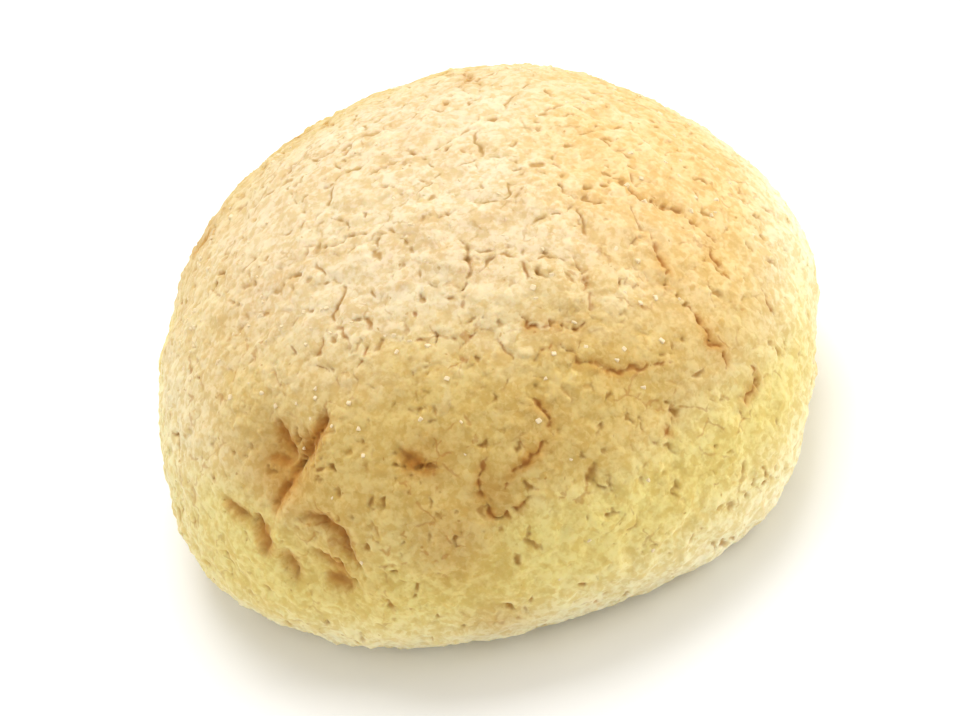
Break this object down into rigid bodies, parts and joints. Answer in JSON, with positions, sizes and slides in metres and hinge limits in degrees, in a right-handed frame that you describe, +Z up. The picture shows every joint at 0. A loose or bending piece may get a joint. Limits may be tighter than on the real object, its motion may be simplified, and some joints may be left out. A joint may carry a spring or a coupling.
{
  "type": "melon pan bun",
  "caption": "Round sweet bun with a thin crackled cookie crust over a soft domed body, resting on its flat baked base.",
  "frame": {"origin": "middle of the flat base, on the surface that the bun rests on", "axes": "+Z up through the crown, -Y towards the front of the bun with the folded side at the left, +X to its right"},
  "size_m": [0.1043, 0.1051, 0.0538],
  "materials": {
    "crust": "matte",
    "bread": "matte",
    "sugar": "satin"
  },
  "bodies": {
    "root": {"bun": "crust"}
  },
  "joints": []
}
